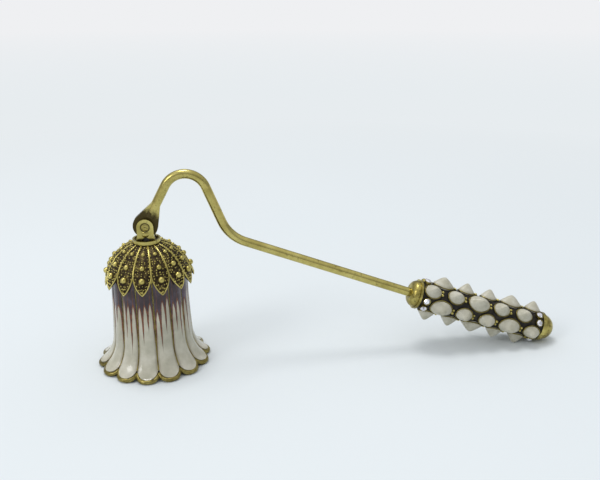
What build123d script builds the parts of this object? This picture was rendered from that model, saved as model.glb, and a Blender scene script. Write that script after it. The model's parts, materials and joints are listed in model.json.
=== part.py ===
from build123d import *
import os
from math import acos, asin, atan2, ceil, cos, degrees, radians, sin, sqrt

# Candle snuffer: a petal bell that swings on the end of a swan-neck rod with a studded handle.
# Millimetres. The bell stands on its rim and the handle rests on one of its studs.
# The rod and the handle lie in the XZ plane, with the handle towards +X.

# Shared fits and cutting values
seat_gap = 0.03
running_gap = 0.05
side_gap = 0.15
overrun = 2.0

# Petal bell
petal_count = 14
petal_turn = 9.5
petal_pitch = 360.0 / petal_count
tip_radius = 24.0
notch_depth = 3.3
shell_radius = 15.35
shell_wall = 1.4
shell_widening = 1.0
flute_depth = 0.45
flare_height = 14.0
flare_overshoot = 2.6
lip_thickness = 1.3
rim_land = 1.4
enamel_thickness = 0.45
enamel_line = 0.55
enamel_lip = 0.75
straight_step = 8.0
flare_height_shares = (1.0, 0.78, 0.55, 0.36, 0.23, 0.16, 0.0)
flare_reach_shares = (0.0, 0.04, 0.14, 0.29, 0.47, 0.65, 1.0)

# Calyx cap with its leaves and beads
leaf_tip_height = 38.0
leaf_curl = 2.9
leaf_clearance = 0.7
crown_flat_radius = 4.0
cap_thickness = 0.9
leaf_notch_height = 6.2
leaf_tip_width = 0.7
leaf_edge_width_share = 0.40
leaf_edge_height_share = 0.44
leaf_rib_radius = 0.3
bead_angles = (31.0, 56.0, 79.0)
bead_radii = (0.85, 1.1, 1.3)
bead_sink_share = 0.75

# Collar with the two hinge ears
collar_radius = 5.8
collar_floor = 0.8
collar_rim_width = 0.8
collar_rim_height = 0.6
collar_boss_radius = 1.95
tongue_clearance = 0.9
ear_radius = 3.4
ear_thickness = 1.7
ear_waist_drop = 2.3
ear_foot_half = 4.6
ear_bend_share = 0.33
ear_arch_radius = 1.7
ear_boss_radius = 1.5
ear_boss_drop = 2.9
ear_boss_rise = 0.6
pin_radius = 1.2
pin_head_radius = 1.4
pin_head_depth = 0.5
pin_head_rise = 0.3

# Screw and washer that clamp the collar to the cap from inside the bell
screw_radius = 1.1
screw_head_radius = 1.9
screw_head_height = 1.3
washer_radius = 3.2
washer_thickness = 0.5
slot_width = 0.5
slot_depth = 0.6

# Swan-neck rod
rod_radius = 1.95
tongue_radius = 5.1
tongue_thickness = 2.6
tongue_length = 9.5
tongue_step = 0.7
neck_rise_angle = 61.8
neck_rise = 38.1
neck_bend_radius = 9.0
neck_fall_angle = 68.1
neck_fall = 42.7
heel_bend_radius = 16.5
shank_angle = 20.15
grip_bend_radius = 40.0
tang_radius = 1.5

# Handle, with stations along its own axis from the bend where the rod enters it
handle_angle = 17.6
ferrule_start = 1.1
ferrule_lip = 0.75
bulb_step = 0.65
ferrule_bulb_length = 3.3
ferrule_wall = 1.2
bulge_station_share = 0.33
bulge_radius_share = 0.75
ring_proud = 0.4
front_ring_width = 1.0
end_ring_width = 1.7
core_radius = 6.2
cap_dome_height = 6.0
tang_in_cap = 2.6

# Studs and crystals round the handle
row_count = 6
row_first_angle = 15.0
row_lags = (1.4, 0.0, 0.0, 0.4, 0.0, 0.0)
studs_in_row = 5
stud_pitch = 11.2
stud_end_margin = 4.5
stud_rise = 4.2
stud_tip_radius = 0.9
stud_shoulder = 0.9
stud_flank_angle = 8.0
odd_row_long_places = (0, 3)
even_row_long_places = (2,)
small_stud_half = (4.0, 3.2)
large_stud_half = (5.2, 3.8)
crystal_radius = 1.4
setting_wall = 0.25
setting_height = 1.0
setting_recess = 0.45
crystal_rise = 0.6
crystal_table_share = 0.6
crystal_sides = 8
crystal_station = 2.4
crystal_spread = 16.0

# Places worked out from the sizes above
notch_radius = tip_radius - notch_depth
bore_radius = shell_radius - shell_wall
flare_start_radius = shell_radius + shell_widening
flare_reach = tip_radius + flare_overshoot - flare_start_radius
crown_centre_height = leaf_tip_height + leaf_curl
crown_arc_radius = shell_radius + enamel_thickness + leaf_clearance + cap_thickness - crown_flat_radius
crown_top_height = crown_centre_height + crown_arc_radius
pivot_height = crown_top_height + collar_floor + tongue_clearance + tongue_radius
ear_inner = tongue_thickness / 2 + side_gap
ear_outer = ear_inner + ear_thickness
cap_inner_radius = crown_arc_radius - cap_thickness
cap_inner_top = crown_top_height - cap_thickness


def height_inside_cap(radius, gap):
    """The height at which a body of this radius meets the cap's inner dome, less a gap."""
    room = cap_inner_radius - gap
    return crown_centre_height + sqrt(room**2 - (radius - crown_flat_radius) ** 2)


shell_height = height_inside_cap(shell_radius, seat_gap)
enamel_height = height_inside_cap(shell_radius + enamel_thickness, seat_gap)
straight_steps = ceil((shell_height - flare_height) / straight_step)

stud_reach = core_radius + stud_rise
ring_radius = core_radius + ring_proud
bulb_radius = ring_radius - bulb_step
mouth_radius = rod_radius + ferrule_lip
core_length = stud_end_margin * 2 + stud_pitch * (studs_in_row - 0.5)
stud_last_station = stud_end_margin + stud_pitch * (studs_in_row - 1)
handle_start = ferrule_start + ferrule_bulb_length
core_start = handle_start + front_ring_width
core_end = core_start + core_length

# The rod's corners: up from the pivot, down the far side, along the shank, into the handle
pivot = Vector(0, 0, pivot_height)
rise_way = Vector(cos(radians(neck_rise_angle)), 0, sin(radians(neck_rise_angle)))
fall_way = Vector(cos(radians(neck_fall_angle)), 0, -sin(radians(neck_fall_angle)))
corner_1 = pivot + rise_way * neck_rise
corner_2 = corner_1 + fall_way * neck_fall

# The last stud of the lowest row touches the table, which fixes how far the shank runs
handle_tilt = radians(handle_angle)
row_tilt = radians(row_first_angle)
contact_lean = (sin(handle_tilt), cos(handle_tilt) * sin(row_tilt), cos(handle_tilt) * cos(row_tilt))
stretched_lean = contact_lean[0] * small_stud_half[0] / small_stud_half[1]
tip_support = stud_tip_radius * sqrt(stretched_lean**2 + contact_lean[1] ** 2 + contact_lean[2] ** 2)
contact_height = (stud_reach - stud_tip_radius) * contact_lean[2] + tip_support
contact_station = core_start + stud_last_station + row_lags[0]
handle_drop = contact_height + contact_station * sin(handle_tilt)
shank_way = Vector(cos(radians(shank_angle)), 0, -sin(radians(shank_angle)))
shank_run = (corner_2.Z - handle_drop) / sin(radians(shank_angle))
corner_3 = corner_2 + shank_way * shank_run
handle_place = Pos(corner_3.X, 0, corner_3.Z) * Rot(0, handle_angle, 0)
pivot_place = Pos(0, 0, pivot_height)

# How a cylinder meets the plane it is placed on: standing on it or hanging from it
stands = (Align.CENTER, Align.CENTER, Align.MIN)
hangs = (Align.CENTER, Align.CENTER, Align.MAX)


def dome_middle(radius, height):
    """The point half way down a round dome's arc: its distance above the dome's foot and from its axis."""
    ball = (radius**2 + height**2) / (2 * height)
    half = atan2(radius, ball - height) / 2
    return height - ball + ball * cos(half), ball * sin(half)


def polar(radius, angle, height=0.0):
    """A point at a radius, an angle in degrees from +X and a height."""
    return Vector(radius * cos(radians(angle)), radius * sin(radians(angle)), height)


def lobed_face(crest, valley, height):
    """A level face of one arc per petal, from valley to valley over the crest in the petal's middle."""
    arcs = []
    for index in range(petal_count):
        middle = petal_turn + index * petal_pitch
        start = polar(valley, middle - petal_pitch / 2, height)
        end = polar(valley, middle + petal_pitch / 2, height)
        arcs.append(ThreePointArc(start, polar(crest, middle, height), end))
    return Face(Wire(arcs))


def bell_profile(proud):
    """Crest radius and height up the bell's outside, moved outwards by a distance square to the wall."""
    points = []
    for index in range(straight_steps):
        down = index / straight_steps
        radius = shell_radius + shell_widening * down**2
        points.append((radius, shell_height - (shell_height - flare_height) * down))
    for down, out in zip(flare_height_shares, flare_reach_shares):
        points.append((flare_start_radius + flare_reach * out, flare_height * down))
    moved = []
    for index, (radius, height) in enumerate(points):
        before = points[max(index - 1, 0)]
        after = points[min(index + 1, len(points) - 1)]
        run = (after[0] - before[0], before[1] - after[1])
        length = sqrt(run[0] ** 2 + run[1] ** 2)
        moved.append((radius + proud * run[1] / length, height + proud * run[0] / length))
    moved[-1] = (moved[-1][0] + proud, 0.0)
    return moved


def petal_body(proud):
    """The solid fluted bell, flaring to a round foot, with its outside moved outwards by a distance."""
    sections = [lobed_face(radius, radius - flute_depth, height) for radius, height in bell_profile(proud)]
    return loft(sections)


def scallop_prism(tip, notch, height):
    """An upright prism whose outline has one round lobe per petal."""
    return extrude(lobed_face(tip, notch, 0), height)


def bell_hollow():
    """The open inside of the bell: a straight bore that flares parallel to the petals."""
    outside = bell_profile(-lip_thickness)[straight_steps:-1]
    throat = outside[0][1]
    funnel = [(radius, height) for radius, height in outside[1:] if height > 0]
    foot = tip_radius - rim_land
    with BuildSketch(Plane.XZ) as section:
        with BuildLine():
            Polyline(
                (0, -overrun),
                (0, shell_height + overrun),
                (bore_radius, shell_height + overrun),
                (bore_radius, throat),
            )
            Spline((bore_radius, throat), *funnel)
            Polyline(funnel[-1], (foot, 0), (foot, -overrun), (0, -overrun))
        make_face()
    return revolve(section.sketch, Axis.Z)


def bell_shell(body):
    return body & scallop_prism(tip_radius, notch_radius, shell_height + overrun) - bell_hollow()


def petal_enamel(body):
    """One petal's enamel: a tile on the shell's outside, inside the gold lines and the gold lip."""
    half = petal_pitch / 2
    far = tip_radius + overrun
    reach = far / cos(radians(half))
    sector = Polyline((0, 0), polar(reach, petal_turn - half), polar(reach, petal_turn + half), (0, 0))
    shrink = enamel_line / 2 / sin(radians(half))
    start = polar(shrink, petal_turn)
    wedge = Pos(start) * extrude(make_face(sector), enamel_height)
    outline = scallop_prism(tip_radius - enamel_lip, notch_radius - enamel_lip, enamel_height)
    return petal_body(enamel_thickness) & wedge & outline - body


def calyx_cap():
    """The domed cap, cut at its foot into one pointed leaf for each petal."""
    cutter = crown_top_height + overrun
    with BuildSketch(Plane.XZ) as section:
        with Locations((crown_flat_radius, crown_centre_height)):
            Circle(crown_arc_radius)
        with Locations((0, crown_centre_height)):
            Rectangle(crown_flat_radius, crown_arc_radius, align=(Align.MIN, Align.MIN))
        with Locations((crown_flat_radius, crown_centre_height)):
            Circle(cap_inner_radius, mode=Mode.SUBTRACT)
        with Locations((0, crown_centre_height)):
            Rectangle(crown_flat_radius, cap_inner_radius, align=(Align.MIN, Align.MIN), mode=Mode.SUBTRACT)
        with Locations((0, leaf_tip_height)):
            Rectangle(cutter, cutter, align=(Align.MIN, Align.MAX), mode=Mode.SUBTRACT)
        with Locations((0, 0)):
            Rectangle(cutter, cutter, align=(Align.MAX, Align.MIN), mode=Mode.SUBTRACT)
        with Locations((0, crown_top_height)):
            Rectangle((collar_boss_radius + seat_gap) * 2, cap_thickness * 2, mode=Mode.SUBTRACT)
    dome = revolve(section.sketch, Axis.Z)
    return dome - leaf_notches() + leaf_ribs()


def leaf_notches():
    """The gaps between the leaves: narrow between their sides and wide between their tips."""
    rim = crown_flat_radius + sqrt(crown_arc_radius**2 - (crown_centre_height - leaf_tip_height) ** 2)
    half = rim * sin(radians(petal_pitch / 2)) - leaf_tip_width / 2
    top = leaf_tip_height + leaf_notch_height
    edge = (half * leaf_edge_width_share, leaf_tip_height + leaf_notch_height * leaf_edge_height_share)
    outline = [
        ThreePointArc((0, top), edge, (half, leaf_tip_height)),
        Polyline(
            (half, leaf_tip_height),
            (half, leaf_tip_height - overrun),
            (-half, leaf_tip_height - overrun),
            (-half, leaf_tip_height),
        ),
        ThreePointArc((-half, leaf_tip_height), (-edge[0], edge[1]), (0, top)),
    ]
    wedge = extrude(Plane.YZ * make_face(outline), rim + overrun)
    return between_petals(wedge)


def leaf_ribs():
    """The raised lines between the leaves, each from the collar's edge down the dome to its notch."""
    start = asin((collar_radius + leaf_rib_radius * 2 - crown_flat_radius) / crown_arc_radius)
    end = acos((leaf_notch_height - leaf_curl + leaf_rib_radius) / crown_arc_radius)
    centre = (crown_flat_radius, crown_centre_height)
    route = Plane.XZ * CenterArc(centre, crown_arc_radius, 90 - degrees(end), degrees(end - start))
    rib = sweep(Plane(route @ 0, z_dir=route % 0) * Circle(leaf_rib_radius), route)
    return between_petals(rib)


def between_petals(shape):
    """Copies of a shape that stands over +X, turned to the line between each petal and the next."""
    first = petal_turn + petal_pitch / 2
    return [Rot(0, 0, first + index * petal_pitch) * shape for index in range(petal_count)]


def calyx_beads(angle, radius):
    """One bead on each leaf, at an angle down the dome's arc, cut to the dome it sits on."""
    reach = crown_arc_radius + radius * (1 - bead_sink_share)
    out = crown_flat_radius + reach * sin(radians(angle))
    bead = Pos(out, 0, crown_centre_height + reach * cos(radians(angle))) * Sphere(radius)
    seat = Pos(0, 0, crown_centre_height) * Torus(crown_flat_radius, crown_arc_radius + seat_gap)
    cut = bead - seat
    return Compound([Rot(0, 0, petal_turn + index * petal_pitch) * cut for index in range(petal_count)])


def hinge_collar():
    """The collar disc with its raised rim, its boss and the two ears that hold the pin."""
    disc = Cylinder(collar_radius, collar_floor + collar_rim_height, align=stands)
    recess = Cylinder(collar_radius - collar_rim_width, collar_rim_height + overrun, align=stands)
    boss = Cylinder(collar_boss_radius, cap_thickness - seat_gap, align=hangs)
    collar = Pos(0, 0, crown_top_height) * (disc - Pos(0, 0, collar_floor) * recess + boss)
    collar += [hinge_ear(1), hinge_ear(-1)]
    thread = Pos(0, 0, crown_top_height + collar_floor / 2) * Cylinder(
        screw_radius + seat_gap, collar_floor / 2 + cap_thickness + overrun, align=hangs
    )
    pin_hole = Cylinder(pin_radius + seat_gap, (ear_outer + overrun) * 2)
    head_seat = Cylinder(pin_head_radius + seat_gap, pin_head_depth + overrun, align=stands)
    seats = [Rot(turn, 0, 0) * Pos(0, 0, ear_outer - pin_head_depth) * head_seat for turn in (90, -90)]
    return collar - thread - pivot_place * Rot(90, 0, 0) * pin_hole - [pivot_place * seat for seat in seats]


def hinge_ear(side):
    """One ear: a round top, straight sides that spread into an arched foot, and a boss under the pin."""
    foot = crown_top_height + collar_floor / 2
    waist = pivot_height - ear_waist_drop
    top = pivot_height + ear_radius
    bend_out = ear_radius + (ear_foot_half - ear_radius) * ear_bend_share
    bend = (bend_out, foot + (waist - foot) * ear_bend_share)
    outline = [
        Line((-ear_foot_half, foot), (ear_foot_half, foot)),
        ThreePointArc((ear_foot_half, foot), bend, (ear_radius, waist)),
        Line((ear_radius, waist), (ear_radius, pivot_height)),
        ThreePointArc((ear_radius, pivot_height), (0, top), (-ear_radius, pivot_height)),
        Line((-ear_radius, pivot_height), (-ear_radius, waist)),
        ThreePointArc((-ear_radius, waist), (-bend[0], bend[1]), (-ear_foot_half, foot)),
    ]
    plate = extrude(Plane.XZ * make_face(outline), ear_thickness, dir=(0, side, 0))
    arch = Rot(90, 0, 0) * Cylinder(ear_arch_radius, (ear_outer + overrun) * 2)
    boss = Pos(0, side * ear_outer, pivot_height - ear_boss_drop) * Rot(-90 * side, 0, 0) * domed_boss()
    plate = Pos(0, side * ear_inner, 0) * plate - Pos(0, 0, crown_top_height + collar_floor) * arch
    return plate + boss


def domed_boss():
    """A round boss that rises along +Z to a low dome, with its foot half way into the ear."""
    rise, out = dome_middle(ear_boss_radius, ear_boss_rise)
    foot = -ear_thickness / 2
    outline = [
        Polyline((0, ear_boss_rise), (0, foot), (ear_boss_radius, foot), (ear_boss_radius, 0)),
        ThreePointArc((ear_boss_radius, 0), (out, rise), (0, ear_boss_rise)),
    ]
    return revolve(Plane.XZ * make_face(outline), Axis.Z)


def hinge_pin():
    """The riveted pin: a shank through both ears, with a low domed head let into each ear's outside."""
    grip = ear_outer - pin_head_depth + seat_gap
    end = ear_outer + pin_head_rise
    rise, out = dome_middle(pin_head_radius, pin_head_rise)
    outline = [
        Line((0, -end), (0, end)),
        ThreePointArc((0, end), (out, ear_outer + rise), (pin_head_radius, ear_outer)),
        Polyline(
            (pin_head_radius, ear_outer),
            (pin_head_radius, grip),
            (pin_radius, grip),
            (pin_radius, -grip),
            (pin_head_radius, -grip),
            (pin_head_radius, -ear_outer),
        ),
        ThreePointArc((pin_head_radius, -ear_outer), (out, -ear_outer - rise), (0, -end)),
    ]
    return pivot_place * revolve(make_face(outline), Axis.Y)


def crown_washer():
    washer = Cylinder(washer_radius, washer_thickness, align=hangs)
    washer -= Cylinder(screw_radius + running_gap, (washer_thickness + overrun) * 2)
    return Pos(0, 0, cap_inner_top - seat_gap) * washer


def crown_screw():
    """The slotted screw whose head bears on the washer and whose shank runs up into the collar."""
    head_top = cap_inner_top - washer_thickness - seat_gap * 2
    head = Cylinder(screw_head_radius, screw_head_height, align=hangs)
    slot = Pos(0, 0, -screw_head_height) * Box((screw_head_radius + overrun) * 2, slot_width, slot_depth * 2)
    shank_length = seat_gap + washer_thickness + cap_thickness + collar_floor / 2
    shank = Cylinder(screw_radius, shank_length, align=stands)
    return Pos(0, 0, head_top) * (head - slot + shank)


def swan_neck_rod():
    """One bent rod: a flat round tongue at the hinge, the swan neck, the shank and a slimmer tang."""
    start = pivot + rise_way * (ear_radius + tongue_step)
    along = Vector(cos(handle_tilt), 0, -sin(handle_tilt))
    shoulder = corner_3 + along * (handle_start - ferrule_wall)
    bends = [neck_bend_radius, heel_bend_radius, grip_bend_radius]
    route = FilletPolyline(start, corner_1, corner_2, corner_3, shoulder, radius=bends)
    rod = sweep(Plane(start, z_dir=rise_way) * Circle(rod_radius), route)
    disc = Pos(0, pivot_height) * Circle(tongue_radius)
    neck_end = pivot + rise_way * tongue_length
    neck = Pos(neck_end.X, neck_end.Z) * Circle(rod_radius)
    outline = Plane.XZ * make_hull([disc.edge(), neck.edge()])
    tongue = extrude(outline, tongue_thickness / 2, both=True)
    hole = pivot_place * Rot(90, 0, 0) * Cylinder(pin_radius + running_gap, tongue_thickness + overrun)
    tang_start = handle_start - ferrule_wall
    tang = Rot(0, 90, 0) * Cylinder(tang_radius, core_end + tang_in_cap - tang_start, align=stands)
    return rod + tongue + handle_place * Pos(tang_start, 0, 0) * tang - hole


def turned(points_and_arcs):
    """A turned piece: a profile of lines and arcs in the XY plane, spun round the handle's axis."""
    return revolve(make_face(points_and_arcs), Axis.X)


def ferrule():
    """The bulb that the rod enters and the ring that closes the handle's front end."""
    bore = rod_radius + seat_gap
    floor = handle_start - ferrule_wall + seat_gap
    bulge_station = ferrule_start + ferrule_bulb_length * bulge_station_share
    bulge = (bulge_station, mouth_radius + (bulb_radius - mouth_radius) * bulge_radius_share)
    outline = [
        Line((ferrule_start, bore), (ferrule_start, mouth_radius)),
        ThreePointArc((ferrule_start, mouth_radius), bulge, (handle_start, bulb_radius)),
        Polyline(
            (handle_start, bulb_radius),
            (handle_start, ring_radius),
            (core_start - seat_gap, ring_radius),
            (core_start - seat_gap, tang_radius + seat_gap),
            (floor, tang_radius + seat_gap),
            (floor, bore),
            (ferrule_start, bore),
        ),
    ]
    return handle_place * turned(outline)


def handle_core():
    core = Cylinder(core_radius, core_length, align=stands)
    core -= Cylinder(tang_radius + seat_gap, (core_length + overrun) * 2)
    return handle_place * Pos(core_start, 0, 0) * Rot(0, 90, 0) * core


def end_cap():
    """The ring and low dome that screw on the tang's end and hold the handle together."""
    start = core_end + seat_gap
    shoulder = start + end_ring_width
    rise, out = dome_middle(bulb_radius, cap_dome_height)
    bulge = (shoulder + rise, out)
    outline = [
        Polyline((start, 0), (start, ring_radius), (shoulder, ring_radius), (shoulder, bulb_radius)),
        ThreePointArc((shoulder, bulb_radius), bulge, (shoulder + cap_dome_height, 0)),
        Line((shoulder + cap_dome_height, 0), (start, 0)),
    ]
    hole = Rot(0, 90, 0) * Cylinder(tang_radius + seat_gap, (tang_in_cap + seat_gap) * 2)
    return handle_place * (turned(outline) - Pos(core_end, 0, 0) * hole)


def core_cutter():
    """The space of the core, a little larger, which everything seated on it is cut to."""
    return Rot(0, 90, 0) * Cylinder(core_radius + seat_gap, (core_length + overrun) * 2)


def stud(half_length, half_width):
    """A pointed oval stud that stands along +Z, cut at its base to the core it sits on."""
    base = core_radius * cos(half_width / core_radius)
    shoulder = core_radius + stud_shoulder
    tip_centre = stud_reach - stud_tip_radius
    rise = tip_centre - shoulder
    touch = atan2(half_width, rise) + radians(stud_flank_angle)
    edge = (stud_tip_radius * sin(touch), tip_centre + stud_tip_radius * cos(touch))
    top = (stud_tip_radius * sin(touch / 2), tip_centre + stud_tip_radius * cos(touch / 2))
    outline = [
        Polyline((0, stud_reach), (0, base), (half_width, base), (half_width, shoulder), edge),
        ThreePointArc(edge, top, (0, stud_reach)),
    ]
    round_stud = revolve(Plane.XZ * make_face(outline), Axis.Z)
    return scale(round_stud, by=(half_length / half_width, 1, 1)) - core_cutter()


def row_turn(row):
    """Turns a piece that stands along +Z to a row's place round the handle, counted from straight down."""
    return Rot(180 - row_first_angle + row * 360 / row_count, 0, 0)


def stud_row(row, small, large):
    """One row of five studs along the handle: the long ones stand where the row's pattern has them."""
    shift = (row % 2) * stud_pitch / 2
    long_places = odd_row_long_places if row % 2 else even_row_long_places
    studs = []
    for index in range(studs_in_row):
        station = core_start + stud_end_margin + shift + row_lags[row] + index * stud_pitch
        shape = large if index in long_places else small
        studs.append(handle_place * Pos(station, 0, 0) * row_turn(row) * shape)
    return Compound(studs)


def crystal_places(at_end):
    """Places of the paired crystals in the rows' short ends, at the front or at the end of the handle."""
    station = core_end - crystal_station if at_end else core_start + crystal_station
    first_row = 0 if at_end else 1
    for row in range(first_row, row_count, 2):
        for side in (-1, 1):
            yield handle_place * Pos(station, 0, 0) * row_turn(row) * Rot(side * crystal_spread, 0, 0)


def crystal_setting():
    radius = crystal_radius + setting_wall
    cup = Cylinder(radius, core_radius + setting_height, align=stands)
    recess = Cylinder(crystal_radius + seat_gap, setting_recess + overrun, align=stands)
    return cup - core_cutter() - Pos(0, 0, core_radius + setting_height - setting_recess) * recess


def crystal():
    """A round-cut stone: a faceted girdle with its crown narrowing to a flat table."""
    floor = core_radius + setting_height - setting_recess + seat_gap
    girdle = Pos(0, 0, floor) * extrude(RegularPolygon(crystal_radius, crystal_sides), setting_recess)
    top = floor + setting_recess
    lower = Pos(0, 0, top) * RegularPolygon(crystal_radius, crystal_sides)
    table = RegularPolygon(crystal_radius * crystal_table_share, crystal_sides)
    return girdle + loft([lower, Pos(0, 0, top + crystal_rise) * table], ruled=True)


def write(name, shape):
    """Writes one sub-part, moved so that the part's own box is centred on the origin along X."""
    export_step(centred * shape, f"parts/{name}.step")


os.makedirs("parts", exist_ok=True)
end_dome = end_cap()
box_middle = (end_dome.bounding_box().max.X - tip_radius) / 2
centred = Pos(-box_middle, 0, 0)

plain_bell = petal_body(0)
write("bell_shell", bell_shell(plain_bell))
tile = petal_enamel(petal_body(seat_gap))
for index in range(petal_count):
    write(f"petal_enamel_{index + 1:02d}", Rot(0, 0, index * petal_pitch) * tile)
write("calyx_cap", calyx_cap())
for name, angle, radius in zip(("upper", "middle", "lower"), bead_angles, bead_radii):
    write(f"calyx_beads_{name}", calyx_beads(angle, radius))
write("hinge_collar", hinge_collar())
write("hinge_pin", hinge_pin())
write("crown_washer", crown_washer())
write("crown_screw", crown_screw())
write("swan_neck_rod", swan_neck_rod())
write("ferrule", ferrule())
write("handle_core", handle_core())
write("end_cap", end_dome)
small = stud(*small_stud_half)
large = stud(*large_stud_half)
for row in range(row_count):
    write(f"stud_row_{row + 1}", stud_row(row, small, large))
cup = crystal_setting()
stone = crystal()
for name, at_end in (("front", False), ("end", True)):
    places = list(crystal_places(at_end))
    write(f"{name}_crystal_settings", Compound([place * cup for place in places]))
    write(f"{name}_crystals", Compound([place * stone for place in places]))
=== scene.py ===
import json
import random
from math import asin, cos, pi, radians, sin, sqrt

import bpy
from mathutils import Matrix, Vector


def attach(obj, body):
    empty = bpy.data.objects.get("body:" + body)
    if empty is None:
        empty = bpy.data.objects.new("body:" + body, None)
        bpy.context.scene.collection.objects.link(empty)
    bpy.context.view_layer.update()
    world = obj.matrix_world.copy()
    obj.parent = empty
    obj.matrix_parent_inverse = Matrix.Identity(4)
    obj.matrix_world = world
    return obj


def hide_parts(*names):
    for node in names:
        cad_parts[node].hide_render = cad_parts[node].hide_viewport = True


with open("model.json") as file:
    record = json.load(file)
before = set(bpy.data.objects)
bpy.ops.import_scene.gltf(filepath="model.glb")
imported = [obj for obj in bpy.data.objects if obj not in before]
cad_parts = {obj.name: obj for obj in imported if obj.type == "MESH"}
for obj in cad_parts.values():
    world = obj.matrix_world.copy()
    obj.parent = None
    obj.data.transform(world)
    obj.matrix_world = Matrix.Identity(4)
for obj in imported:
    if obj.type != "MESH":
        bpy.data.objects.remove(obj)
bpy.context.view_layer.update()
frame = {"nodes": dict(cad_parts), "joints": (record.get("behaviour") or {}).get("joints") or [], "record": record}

# Candle snuffer: an enamelled petal bell hinged to a swan-neck rod with a studded handle.
# Everything is in metres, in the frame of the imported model: +Z up, the handle towards +X.
# Sizes below are in millimetres, as in the part's source, and are scaled by mm where they are used.
mm = 0.001
nodes = frame["nodes"]
hinge = Vector(frame["joints"][0]["pos_m"])
bell_axis = Vector((hinge.x, hinge.y, 0.0))
dice = random.Random(14)

# Camera: the place and tilt that put the bell's tips and the handle where the photograph has them
photo_width = 600
focal_pixels = 700
sensor_width = 36.0
camera_from_bell = Vector((35.567, -279.0, 150.9))
camera_turn = radians(5.8)
camera_pitch = radians(19.35)

# Bell: the solid's petals and flare, with its top lower, to stay under the scene's more conical leaves
petal_count = 14
petal_turn = radians(9.5)
petal_pitch = 2 * pi / petal_count
half_petal = petal_pitch / 2
tip_radius = 24.0
notch_radius = 20.7
shell_top_radius = 15.35
shell_top_height = 44.0
shell_widening = 1.0
flute_depth = 0.45
flare_line = [
    (16.35, 14.0), (16.76, 10.92), (17.79, 7.7), (19.32, 5.04), (21.17, 3.22), (23.01, 2.24), (24.6, 1.75),
]
casting_wall = 1.3
rim_inset = 0.9
rim_step = 0.15
rim_drop = 0.45
bore_radius = 13.95
bore_foot_height = 13.9
enamel_thickness = 0.45
enamel_top = 42.7
enamel_lip = 0.75
tile_depth = 0.42
seam_half_width = 0.26
seam_start = 5.0
seam_lift = 0.16
seam_wire_radius = 0.20
lip_wire_radius = 0.98
lip_wire_drop = 0.70
lip_wire_lowest = 1.0
dish_depth = 0.45

# Calyx: the dome that carries the leaves, a little more of a cone than the solid's
dome_flat_radius = 1.4
dome_centre_height = 38.3
dome_arc_radius = 16.0
leaf_tip_height = 38.0
leaf_notch_height = 6.2
leaf_tip_width = 0.7
leaf_edge_shares = (0.40, 0.44)
leaf_hole_radius = 2.2
leaf_depth = 0.9
leaf_swell = 0.25
leaf_wire_radius = 0.27
leaf_wire_lift = 0.22
grain_lift = 0.28
grain_step_share = 0.048
grain_gap = 0.2
collar_radius = 5.8
bead_angles = (33.5, 55.0, 72.5)
bead_radii = (0.85, 1.1, 1.3)
bead_names = ("upper", "middle", "lower")
collar_height = 54.3

# Handle: its own axis starts where the rod bends into it
handle_start = Vector((32.993, 0.0, 26.633)) * mm
handle_tilt = radians(17.6)
core_start = 5.4
core_radius = 6.2
row_count = 6
row_first_angle = radians(15.0)
row_lags = (1.4, 0.0, 0.0, 0.4, 0.0, 0.0)
studs_in_row = 5
stud_pitch = 11.2
stud_margin = 4.5
small_stud = (4.0, 3.2)
large_stud = (5.2, 3.8)
large_places = ((2,), (0, 3))
stud_rise = 4.2
stud_inset = 0.3
stud_skirt_height = 0.3
stud_skirt_sink = 0.25
bezel_inset = 0.08
bezel_lift = 0.38
bezel_wire_radius = 0.24
link_gap = 0.55
link_side = 0.75
link_lift = 0.25


# Small helpers for building materials from nodes

def new_finish(name):
    """A material with an empty Principled shader; returns the material, its node tree and the shader."""
    material = bpy.data.materials.new(name)
    material.use_nodes = True
    tree = material.node_tree
    return material, tree, tree.nodes["Principled BSDF"]


def add(tree, kind, inputs=(), **settings):
    """Adds a node; each input is set to a value, or linked where it is another node's output."""
    node = tree.nodes.new(kind)
    for name, value in settings.items():
        setattr(node, name, value)
    for name, value in dict(inputs).items():
        if isinstance(value, bpy.types.NodeSocket):
            tree.links.new(value, node.inputs[name])
        else:
            node.inputs[name].default_value = value
    return node


def object_place(tree):
    return add(tree, "ShaderNodeTexCoord").outputs["Object"]


def noise(tree, place, scale, detail=3.0, roughness=0.5):
    inputs = {"Vector": place, "Scale": scale, "Detail": detail, "Roughness": roughness}
    return add(tree, "ShaderNodeTexNoise", inputs).outputs["Fac"]


def ramp(tree, factor, stops):
    """A colour ramp through (place, colour) stops."""
    node = add(tree, "ShaderNodeValToRGB", {"Fac": factor})
    elements = node.color_ramp.elements
    while len(elements) < len(stops):
        elements.new(1.0)
    for element, (place, colour) in zip(elements, stops):
        element.position = place
        element.color = (*colour, 1.0)
    return node.outputs["Color"]


def spread(tree, value, low, high, new_low=0.0, new_high=1.0):
    """Maps a value from one range to another and keeps it inside."""
    inputs = {"Value": value, "From Min": low, "From Max": high, "To Min": new_low, "To Max": new_high}
    return add(tree, "ShaderNodeMapRange", inputs, clamp=True).outputs["Result"]


def calculate(tree, operation, first, second=0.0):
    node = add(tree, "ShaderNodeMath", {0: first, 1: second}, operation=operation)
    return node.outputs["Value"]


def calculate_vector(tree, operation, first, second):
    inputs = {0: first, 1: second}
    return add(tree, "ShaderNodeVectorMath", inputs, operation=operation).outputs["Vector"]


def length_of(tree, vector):
    return add(tree, "ShaderNodeVectorMath", {0: vector}, operation="LENGTH").outputs["Value"]


def in_mm(tree, metres):
    return calculate(tree, "MULTIPLY", metres, 1000.0)


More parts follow.
